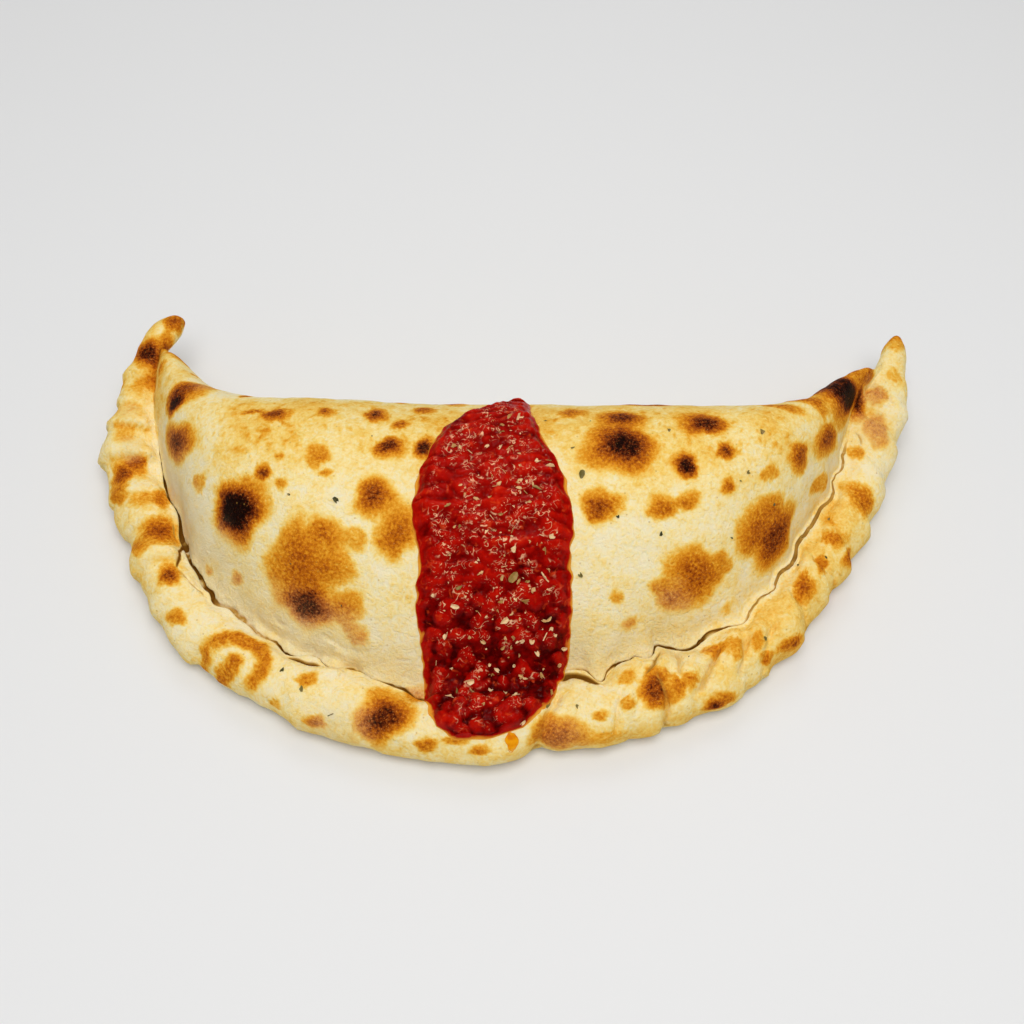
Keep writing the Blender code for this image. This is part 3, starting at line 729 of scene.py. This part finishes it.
# Rows are evenly spaced along the surface, so that the steep front isn't coarser than the crown.
front, back = corners[:, 1].min() + 0.2, corners[:, 1].max() - 0.2
line_y = np.linspace(front, back, SAUCE_STEPS)
line_z = np.array([settled_height(SAUCE_MIDDLE, y) for y in line_y])
walked = np.concatenate([[0.0], np.cumsum(np.hypot(np.diff(line_y), np.diff(line_z)))])
row_walk = np.linspace(0.0, walked[-1], SAUCE_ALONG)
row_y = np.interp(row_walk, walked, line_y)

bpy.ops.object.select_all(action="DESELECT")
bpy.ops.mesh.primitive_grid_add(x_subdivisions=SAUCE_ACROSS - 1, y_subdivisions=SAUCE_ALONG - 1, size=2.0)
sauce = bpy.context.object
sauce.name = "lumpy_tomato_sauce"
bpy.ops.object.mode_set(mode="EDIT")
bpy.ops.mesh.select_all(action="SELECT")
bpy.ops.mesh.extrude_region_move(TRANSFORM_OT_translate={"value": (0.0, 0.0, 1.0)})
bpy.ops.object.mode_set(mode="OBJECT")
grid = np.empty(len(sauce.data.vertices) * 3)
sauce.data.vertices.foreach_get("co", grid)
grid = grid.reshape(-1, 3)
column = np.rint((grid[:, 0] + 1.0) / 2.0 * (SAUCE_ACROSS - 1)).astype(int)
row = np.rint((grid[:, 1] + 1.0) / 2.0 * (SAUCE_ALONG - 1)).astype(int)
on_top = grid[:, 2] > 0.5

widths = np.array([sauce_width(y) for y in row_y])
row_left = widths[:, 0] + SAUCE_WOBBLE * lumps(row_walk, 4.5, 61.0)
row_right = widths[:, 1] + SAUCE_WOBBLE * lumps(row_walk, 4.5, 67.0)
share = np.linspace(0.0, 1.0, SAUCE_ACROSS)
plan_x = row_left[:, None] + (row_right - row_left)[:, None] * share[None, :]
base = np.array([[settled_height(x, y) for x in xs[::3]] for xs, y in zip(plan_x, row_y)])
base = np.array([np.interp(share, share[::3], heights) for heights in base])
under = np.array([[dough_height(x, y) for x in xs] for xs, y in zip(plan_x, row_y)])
side_oil = OIL_EDGE * np.clip(0.3 + 2.6 * lumps(row_walk, 9.0, 63.0), 0.05, 1.8)
inset = np.minimum(plan_x - row_left[:, None], row_right[:, None] - plan_x) - side_oil[:, None]
inset = np.minimum(inset, row_walk[:, None] - 0.3)
inset = np.minimum(inset, (walked[-1] - row_walk)[:, None] * 0.6)
fullness = (1.0 - (1.0 - np.clip(inset / SAUCE_EDGE, 0.0, 1.0)) ** 2) ** 0.75


def billows(places, size, seed):
    """Rounded lumps with creases between them: from -0.5 in a crease to 0.5 on top of a lump."""
    return np.minimum(1.0, 2.4 * np.abs(lumps(places, size, seed))) - 0.5


def domes(places, size, seed):
    """Separate round lumps: 0 between them and 1 on top of one."""
    nearest = [noise.voronoi(Vector(p) / size + Vector((seed, seed, 0.0)))[0][0] for p in places]
    return np.sqrt(np.clip(1.0 - (np.array(nearest) / 0.62) ** 2, 0.0, 1.0))


# The relief is worked out on the sauce laid flat. Round chunks of tomato lie in its lower part, and
# further up it is finer and wrinkled.
flat = np.stack([plan_x.ravel(), np.repeat(row_walk, SAUCE_ACROSS), np.zeros(plan_x.size)], 1)
drift = np.stack([lumps(flat, 6.0, 71.0), lumps(flat, 6.0, 73.0), np.zeros(len(flat))], 1)
chunky = ease(flat[:, 1], 78.0, 42.0)
wrinkled = flat * np.array([0.45, 1.0, 1.0])
relief = (0.3 + 1.6 * chunky) * (domes(flat + 1.6 * drift, 5.2, 1.0) - 0.6)
relief += 0.45 * (domes(flat + 1.0 * drift, 2.8, 3.0) - 0.5) + 0.2 * billows(flat, 1.8, 9.0)
relief += 1.1 * (1.0 - 0.7 * chunky) * billows(wrinkled + 1.5 * drift, 4.2, 13.0)
relief += 0.8 * lumps(flat, 9.0, 77.0)
relief = relief.reshape(plan_x.shape)
full_height = np.maximum(base - under, 2.0)
thickness = OIL_THICKNESS * ease(inset, -side_oil[:, None], 0.0) + fullness * (full_height + relief)
top = under + np.maximum(thickness, 0.0)
bottom = under - SAUCE_SINK
height = np.where(on_top, top[row, column], bottom[row, column])
write_points(sauce.data, np.stack([plan_x[row, column], row_y[row], height], 1))
bpy.ops.object.shade_smooth()

mark(sauce, "depth", np.where(on_top, (top - under)[row, column] / SAUCE_THICKNESS, 0.0))
# The red is painted darker in the hollows and brighter on raised pulp, partly painted shade, and it is
# kept bright near the edge, painted light where the steep edge stands in shade.
pulp_and_hollow_shade = 0.54 - 0.09 * chunky.reshape(plan_x.shape) + 0.3 * relief
pulp_and_hollow_shade = np.maximum(pulp_and_hollow_shade, 0.6 * ease(inset, 3.0, 0.5))
mark(sauce, "pulp_and_hollow_shade", np.clip(pulp_and_hollow_shade[row, column], 0.0, 1.0))
# Where the painted glint streaks go: away from the edges and on raised pulp, fewer in the lower part.
painted_glint_density = ease(inset, 2.5, 9.0) * ease(pulp_and_hollow_shade, 0.3, 0.46)
painted_glint_density *= (1.0 - 0.25 * ease(row_walk, 55.0, 30.0))[:, None]
mark(sauce, "shine", np.where(on_top, painted_glint_density[row, column], 0.0))

# Crushed tomato in olive oil: wet and glossy, deep red, painted brighter where pulp stands proud and
# darker in the hollows, partly painted shade, with painted highlights on top, and amber where only oil
# is left at the edge. Patterns are given as for the crust.
wet_sauce, nodes, shader = new_material("wet tomato sauce")
PULP_AND_SHADE_COLORS = (
    (0.0, "#400101"), (0.3, "#7E0402"), (0.6, "#A80C04"), (0.85, "#BE1807"), (1.0, "#D03414"),
)
SKIN = "#D8451C"
OIL = "#E69A30"
# Colour of the painted highlights on the sauce.
GLINT_PAINT_COLOR = "#FFCC9C"
PULP_BITS = (1.8, 3.0, 0.6, 0.0)
SKIN_SCRAPS = (2.6, 2.0, 0.5, 0.6)
SQUIGGLES = (2.0, 1.0, 0.5, 2.5)
GLINT_STREAK_CURLS = (3.2, 0.0, 0.5, 1.2)
SHORT_GAPS = (2.6, 1.0, 0.5, 0.0)
LONG_GAPS = (9.0, 1.0, 0.5, 0.0)
FILM_GLINTS = (1.4, 1.0, 0.5, 1.5)
GLINT_PATCH_PATTERN = (7.0, 1.0, 0.5, 0.0)
place = add_node(nodes, "TexCoord", {}, "Object")
pulp_and_hollow_shade_fac, deep, shining = (
    add_node(nodes, "Attribute", {"attribute_name": name}, "Fac")
    for name in ("pulp_and_hollow_shade", "depth", "shine")
)
bits, skins, squiggles, curls, short_gaps, long_gaps, glints, glint_patches = (
    add_node(nodes, "TexNoise", {"Vector": place, "Scale": 1 / (size * MM), "Detail": detail,
                                 "Roughness": roughness, "Distortion": distortion})
    for size, detail, roughness, distortion in (
        PULP_BITS, SKIN_SCRAPS, SQUIGGLES, GLINT_STREAK_CURLS, SHORT_GAPS, LONG_GAPS, FILM_GLINTS, GLINT_PATCH_PATTERN)
)
tone = add_node(nodes, "Math", {"operation": "SUBTRACT", 0: bits, 1: 0.5})
tone = add_node(nodes, "Math", {"operation": "MULTIPLY_ADD", 0: tone, 1: 0.6, 2: pulp_and_hollow_shade_fac})
red = add_node(nodes, "ValToRGB", {"Fac": tone})
set_ramp(red, PULP_AND_SHADE_COLORS)

# Scraps of skin lie in the pulp. On top lie painted highlights: glint streaks, thin, short and curled,
# and glints in patches, thicker in some places than in others.
GLINT_STREAK_WIDTH = 0.048      # as a share of the pattern's height
off_line = add_node(nodes, "Math", {"operation": "SUBTRACT", 0: curls, 1: 0.5})
off_line = add_node(nodes, "Math", {"operation": "ABSOLUTE", 0: off_line})
thin, skins, glint_streaks, short_gaps, long_gaps, glints, glint_patches = (
    add_node(nodes, "MapRange", {"Value": value, "From Min": start, "From Max": end,
                                 "To Min": first, "To Max": last})
    for value, start, end, first, last in (
        (deep, 0.05, 0.22, 1.0, 0.0), (skins, 0.6, 0.72, 0.0, 0.5),
        (off_line, 0.2 * GLINT_STREAK_WIDTH, GLINT_STREAK_WIDTH, 1.0, 0.0), (short_gaps, 0.48, 0.54, 0.0, 1.0),
        (long_gaps, 0.42, 0.54, 0.0, 1.0), (glints, 0.61, 0.69, 0.0, 0.85), (glint_patches, 0.48, 0.6, 0.0, 1.0))
)
for share in (shining, short_gaps, long_gaps):
    glint_streaks = add_node(nodes, "Math", {"operation": "MULTIPLY", 0: glint_streaks, 1: share})
for share in (glint_patches, shining):
    glints = add_node(nodes, "Math", {"operation": "MULTIPLY", 0: glints, 1: share})
glint_streaks = add_node(nodes, "Math", {"operation": "MAXIMUM", 0: glint_streaks, 1: glints})
# The glint streaks are painted highlights mixed into the colour; a bump also raises them a little.
painted_glint_amount = add_node(nodes, "Math", {"operation": "MULTIPLY", 0: glint_streaks, 1: 0.85})
color = red
for amount, tint in ((skins, SKIN), (thin, OIL), (painted_glint_amount, GLINT_PAINT_COLOR)):
    color = add_node(nodes, "Mix", {"data_type": "RGBA", 0: amount, 6: color, 7: linear(tint)}, 2)
SQUIGGLE_HEIGHT = 0.18
GLINT_STREAK_HEIGHT = 0.12
bumps = add_node(nodes, "Bump", {"Height": squiggles, "Distance": SQUIGGLE_HEIGHT * MM})
bumps = add_node(nodes, "Bump", {"Height": glint_streaks, "Distance": GLINT_STREAK_HEIGHT * MM, "Normal": bumps})
set_up(nodes, shader, {
    "Base Color": color, "Normal": bumps, "Roughness": 0.1, "IOR": 1.42,
    "Specular IOR Level": 0.06, "Subsurface Weight": 0.1, "Subsurface Radius": (1.0, 0.12, 0.04),
    "Subsurface Scale": 1.2 * MM,
})
sauce.data.materials.append(wet_sauce)

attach(sauce, "root")
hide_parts("tomato_sauce")


# ----------------------------------------------------------
# Oil drip. A bead of orange oil that ran out of the sauce and stopped on the front of the rim. It
# is olive oil stained by tomato, a flat drop that clings to the crust.

DRIP_MIDDLE = (0.4, -86.2)
DRIP_SIZE = (2.0, 2.8)   # half its width and half its length
DRIP_HEIGHT = 0.2
DRIP_SINK = 0.6          # how far its underside reaches into the crust
bpy.ops.object.select_all(action="DESELECT")
bpy.ops.mesh.primitive_uv_sphere_add(segments=32, ring_count=16, radius=1.0)
drip = bpy.context.object
drip.name = "oil_drip"
ball = read_points(drip.data) * MM
around = lumps(ball, 0.8, 83.0)
plan = ball[:, :2] * np.array(DRIP_SIZE) * (1.0 + 0.45 * around)[:, None] + np.array(DRIP_MIDDLE)
level = np.array([dough_height(x, y) for x, y in plan])
height = np.where(ball[:, 2] > 0.0, DRIP_HEIGHT * ball[:, 2], -DRIP_SINK)
write_points(drip.data, np.column_stack([plan, level + height]))
bpy.ops.object.shade_smooth()

# Olive oil stained by tomato: clear orange, very glossy, with faint waves.
stained_oil, nodes, shader = new_material("tomato-stained olive oil")
OIL_COLORS = ((0.35, "#E07A04"), (0.6, "#F0A010"))
OIL_WAVE = 2.0
OIL_WAVE_HEIGHT = 0.3
place = add_node(nodes, "TexCoord", {}, "Object")
waves = add_node(nodes, "TexNoise", {"Vector": place, "Scale": 1 / (OIL_WAVE * MM)})
amber = add_node(nodes, "ValToRGB", {"Fac": waves})
set_ramp(amber, OIL_COLORS)
bumps = add_node(nodes, "Bump", {"Height": waves, "Strength": 0.4, "Distance": OIL_WAVE_HEIGHT * MM})
set_up(nodes, shader, {
    "Base Color": amber, "Normal": bumps, "Roughness": 0.08, "IOR": 1.47,
    "Subsurface Weight": 0.1, "Subsurface Radius": (1.0, 0.4, 0.1), "Subsurface Scale": 1.5 * MM,
})
drip.data.materials.append(stained_oil)

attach(drip, "root")


# ----------------------------------------------------------
# Herbs. Rubbed dried oregano: curled scraps of leaf and bits of stalk, cream to olive, strewn by
# hand over the sauce, with a few fallen on the crust.

Flake = namedtuple("Flake", "x y length tone kind", defaults=("leaf",))
# A tone runs from 0, cream, over 0.35, tan, and 0.6, olive, to 1, dark green.
SAUCE_FLAKES = [Flake(*row) for row in (
    (3.1, 15.2, 4.4, 0.05), (-0.3, 15.2, 2.4, 0.4), (-3.1, 11.2, 2.2, 0.4), (-19.3, 0.7, 2.6, 0.38),
    (-3.7, 0.3, 2.4, 0.08), (-8.1, 0.7, 2, 0.1), (9.1, -5.4, 3.2, 0.05), (13.1, -7.7, 3.4, 0.12),
    (8.4, -15, 3.2, 0.5), (-4, -14.1, 2.6, 0.22), (-11.3, -19.5, 2.8, 0.25), (6, -20.3, 2.6, 0.2),
    (-20.9, -21.1, 2.4, 0.45), (14, -29.9, 3.4, 0.08), (1, -33.8, 2.6, 0.08),
    (11.3, -33.8, 2.8, 0.4), (0.7, -40.8, 4.4, 0.5), (11.3, -40.8, 4.2, 0.06), (4.4, -46.6, 4.6, 0.42),
    (7.4, -44.1, 2.8, 0.2), (-18.6, -48.3, 3.2, 0.03), (-17.2, -44.1, 2.6, 0.6),
    (-10.2, -40.4, 2.2, 0.2), (-2, -51.5, 3.4, 0.1), (12.8, -49.7, 2.4, 0.22),
    (11.1, -50.2, 2.2, 0.25), (13.5, -52.1, 2.6, 0.08), (14.9, -52.9, 2.2, 0.1),
    (11.5, -53.8, 3.4, 0.05, "stalk"), (-21.7, -54.7, 3.2, 0.05), (-9.4, -55.8, 2.6, 0.2),
    (3.4, -55.7, 3.2, 0), (7.1, -55.5, 2.6, 0.15), (8.8, -57.5, 2.6, 0.02), (18.1, -54.5, 2.6, 0.1),
    (-13.8, -66.7, 3.6, 0.05), (-20.3, -71.8, 3, 0.08), (-17.8, -69.8, 2.2, 0.6),
    (2, -71.2, 3, 0.08), (-6.7, -68.5, 2.4, 0), (10.5, -63.7, 2.8, 0.35), (16.4, -59.3, 2.4, 0.2),
    (13.8, -69.9, 3, 0.42), (3.7, -81.2, 3, 0.05),
)]
CRUST_FLAKES = [Flake(*row) for row in (
    (12.4, -73.7, 2.8, 0.6), (24, -7.9, 3.4, 0.7), (35.9, -21, 1.6, 1), (50.6, -25.3, 1.8, 0.95),
    (75.5, -22.2, 1.4, 0.9), (87.6, 12.5, 2.4, 0.55), (54.7, 10.7, 1.6, 0.6), (81.8, -3, 2.2, 0.6),
    (78.8, -6.5, 1.4, 0.7), (23.2, -37.6, 2.4, 0.7), (117.1, 1.6, 1.4, 0.7), (103.5, -18.1, 1.6, 0.9),
    (113.4, -15.7, 1.4, 0.9), (91.6, -8.6, 1.4, 0.8), (11.9, 16.5, 1.6, 0.9), (21.2, 2.6, 1.6, 0.7),
    (-58.8, -16.3, 3, 0.9), (-75.2, -13.1, 1.2, 0.9), (-77.8, -61.7, 2.4, 0.9),
    (-70.4, -68.7, 2.4, 0.65), (-60.2, -77, 2.6, 0.7, "stalk"), (22.4, -74.7, 1.8, 0.65),
    (87.8, -49.1, 1.8, 0.65),
)]
LOOSE_ON_SAUCE = 150
LOOSE_ON_CRUST = 16

# A leaf scrap is an eight-sided chip, one unit long, dished along its middle. A stalk is a rod.
FLAKE_THICKNESS = 0.06
STALK_WIDTH = 0.12
FLAKE_SEAT = 0.1         # how far its middle stands off the surface, as a share of its length
bpy.ops.object.select_all(action="DESELECT")
bpy.ops.mesh.primitive_cylinder_add(vertices=8, radius=0.5, depth=FLAKE_THICKNESS, end_fill_type="TRIFAN")
leaf_scrap = bpy.context.object
bpy.ops.object.select_all(action="DESELECT")
bpy.ops.mesh.primitive_cylinder_add(vertices=6, radius=0.5, depth=1.0, rotation=(0.0, math.pi / 2, 0.0))
stalk_bit = bpy.context.object
bpy.ops.object.transform_apply(location=False, rotation=True, scale=False)

strewing = random.Random(21)


def strew(flake, tree, made):
    """Copies one flake, of its own outline and curl, to its place on a surface."""
    place, normal = drop(tree, flake.x, flake.y)
    if place is None:
        return
    is_leaf = flake.kind == "leaf"
    mesh = (leaf_scrap if is_leaf else stalk_bit).data.copy()
    narrow = strewing.uniform(0.45, 0.72) if is_leaf else STALK_WIDTH
    curl = strewing.uniform(-0.5, 0.7)
    dish = strewing.uniform(0.2, 0.9)
    pointed = strewing.uniform(0.0, 0.6)
    jag = strewing.uniform(0.0, 6.3)
    for vertex in mesh.vertices:
        x, y, z = vertex.co
        if is_leaf:
            angle = math.atan2(y, x)
            reach = 1.0 + 0.14 * math.sin(3 * angle + jag) + 0.1 * math.sin(5 * angle + 2 * jag)
            x, y = x * reach, y * reach * (1.0 - pointed * max(0.0, 2 * x))
            z += dish * y * y - 0.1
        else:
            z *= narrow
        vertex.co = (x, y * narrow, z + curl * (x * x - 0.1) * narrow)
    mark_tone = mesh.attributes.new("tone", "FLOAT", "POINT")
    mark_tone.data.foreach_set("value", [flake.tone] * len(mesh.vertices))
    lean = Euler((strewing.gauss(0.0, 0.3), strewing.gauss(0.0, 0.3), strewing.uniform(0.0, 6.3)))
    turned = normal.to_track_quat("Z", "Y").to_matrix() @ lean.to_matrix()
    seat = (place + normal * (FLAKE_SEAT * flake.length)) * MM
    mesh.transform(Matrix.Translation(seat) @ turned.to_4x4() @ Matrix.Scale(flake.length * MM, 4))
    copy = bpy.data.objects.new("flake", mesh)
    bpy.context.collection.objects.link(copy)
    made.append(copy)


def join(made, name):
    """Joins objects into one piece."""
    bpy.ops.object.select_all(action="DESELECT")
    for copy in made:
        copy.select_set(True)
    bpy.context.view_layer.objects.active = made[0]
    bpy.ops.object.join()
    made[0].name = name
    return made[0]


top_of_sauce = tree_of(sauce.data)
on_sauce, on_crust = [], []
for flake in SAUCE_FLAKES:
    strew(flake, top_of_sauce, on_sauce)
for _ in range(LOOSE_ON_SAUCE):
    y = strewing.triangular(front + 4.0, back - 6.0, -52.0)
    left, right = sauce_width(y)
    x = strewing.triangular(left + 2.5, right - 2.5, left + 0.62 * (right - left))
    kind = "stalk" if strewing.random() < 0.25 else "leaf"
    tone = strewing.random() ** 1.5 * 0.5
    strew(Flake(x, y, 0.8 + 1.6 * strewing.random() ** 2, tone, kind), top_of_sauce, on_sauce)
for flake in CRUST_FLAKES:
    strew(flake, dough_tree, on_crust)
for _ in range(LOOSE_ON_CRUST):
    x, y = strewing.gauss(30.0, 62.0), strewing.uniform(-76.0, 18.0)
    strew(Flake(x, y, strewing.uniform(0.6, 1.2), strewing.uniform(0.6, 1.0)), dough_tree, on_crust)
for leftover in (leaf_scrap, stalk_bit):
    bpy.data.objects.remove(leftover)

# Dried leaf: papery and matt. Its colour depends on the scrap, and each is a little blotchy.
dried_leaf, nodes, shader = new_material("dried oregano")
LEAF_COLORS = (
    (0.0, "#F2CF9C"), (0.2, "#DBAE72"), (0.4, "#B48440"), (0.62, "#7A6A2A"), (1.0, "#2B3012"),
)
BLOTCH = 0.7
BLOTCH_HEIGHT = 0.1
place = add_node(nodes, "TexCoord", {}, "Object")
tone = add_node(nodes, "Attribute", {"attribute_name": "tone"}, "Fac")
blotches = add_node(nodes, "TexNoise", {"Vector": place, "Scale": 1 / (BLOTCH * MM), "Detail": 2.0})
shade = add_node(nodes, "Math", {"operation": "SUBTRACT", 0: blotches, 1: 0.5})
shade = add_node(nodes, "Math", {"operation": "MULTIPLY_ADD", 0: shade, 1: 0.35, 2: tone})
leaf = add_node(nodes, "ValToRGB", {"Fac": shade})
set_ramp(leaf, LEAF_COLORS)
bumps = add_node(nodes, "Bump", {"Height": blotches, "Strength": 0.5, "Distance": BLOTCH_HEIGHT * MM})
set_up(nodes, shader, {"Base Color": leaf, "Normal": bumps, "Roughness": 0.55})

for made, name, slot in (
    (on_sauce, "herbs_on_sauce", "tomato_sauce"),
    (on_crust, "herbs_on_crust", "baked_dough"),
):
    herbs = join(made, name)
    herbs.data.materials.append(dried_leaf)
    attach(herbs, "root")


# ----------------------------------------------------------
# Floor, light and camera. The calzone lies on plain pale paper, under a broad softbox overhead, a
# smaller one behind and three small glint lights. The camera looks down at its front.

bpy.ops.object.select_all(action="DESELECT")
bpy.ops.mesh.primitive_plane_add(size=6.0, location=(0.0, 0.0, 0.0))
floor = bpy.context.object
floor.name = "floor"
paper, nodes, shader = new_material("matt white paper")
set_up(nodes, shader, {"Base Color": linear("#E6E6E5"), "Roughness": 0.8})
floor.data.materials.append(paper)

world = bpy.data.worlds.new("studio")
bpy.context.scene.world = world
world.use_nodes = True
background = world.node_tree.nodes["Background"]
set_up(world.node_tree, background, {"Color": linear("#F4F4F6"), "Strength": 0.43})
world.cycles_visibility.glossy = False


def add_light(name, place, size, power):
    """A square soft light that shines at the calzone."""
    data = bpy.data.lights.new(name, "AREA")
    data.size = size
    data.energy = power
    lamp = bpy.data.objects.new(name, data)
    bpy.context.collection.objects.link(lamp)
    lamp.location = place
    lamp.rotation_euler = Vector(place).to_track_quat("Z", "Y").to_euler()
    return lamp


# The softboxes light the crust evenly. The glint lights only make the glints on wet surfaces.
add_light("overhead softbox", (0.05, -0.3, 1.15), 0.8, 9.3).visible_glossy = False
add_light("back softbox", (-0.1, 0.75, 1.0), 0.5, 1.5).visible_glossy = False
GLINT_SIZE = 0.2
for spot, power in (((0.15, 0.7, 1.0), 3.5), ((-0.2, 0.3, 1.15), 3.5), ((0.1, -0.2, 1.2), 2.0)):
    add_light("glint light", spot, GLINT_SIZE, power).visible_diffuse = False

ELEVATION = 55.5         # degrees
DISTANCE = 0.5
AIM = Vector((0.0004, 0.0159, 0.0))
lens = bpy.data.cameras.new("camera")
lens.sensor_width = 36.0
lens.lens = 45.7
camera = bpy.data.objects.new("camera", lens)
bpy.context.collection.objects.link(camera)
tilt = math.radians(ELEVATION)
back_to_camera = Vector((0.0, -math.cos(tilt), math.sin(tilt)))
camera.location = AIM + back_to_camera * DISTANCE
camera.rotation_euler = back_to_camera.to_track_quat("Z", "Y").to_euler()
bpy.context.scene.camera = camera
bpy.context.scene.view_settings.view_transform = "Standard"
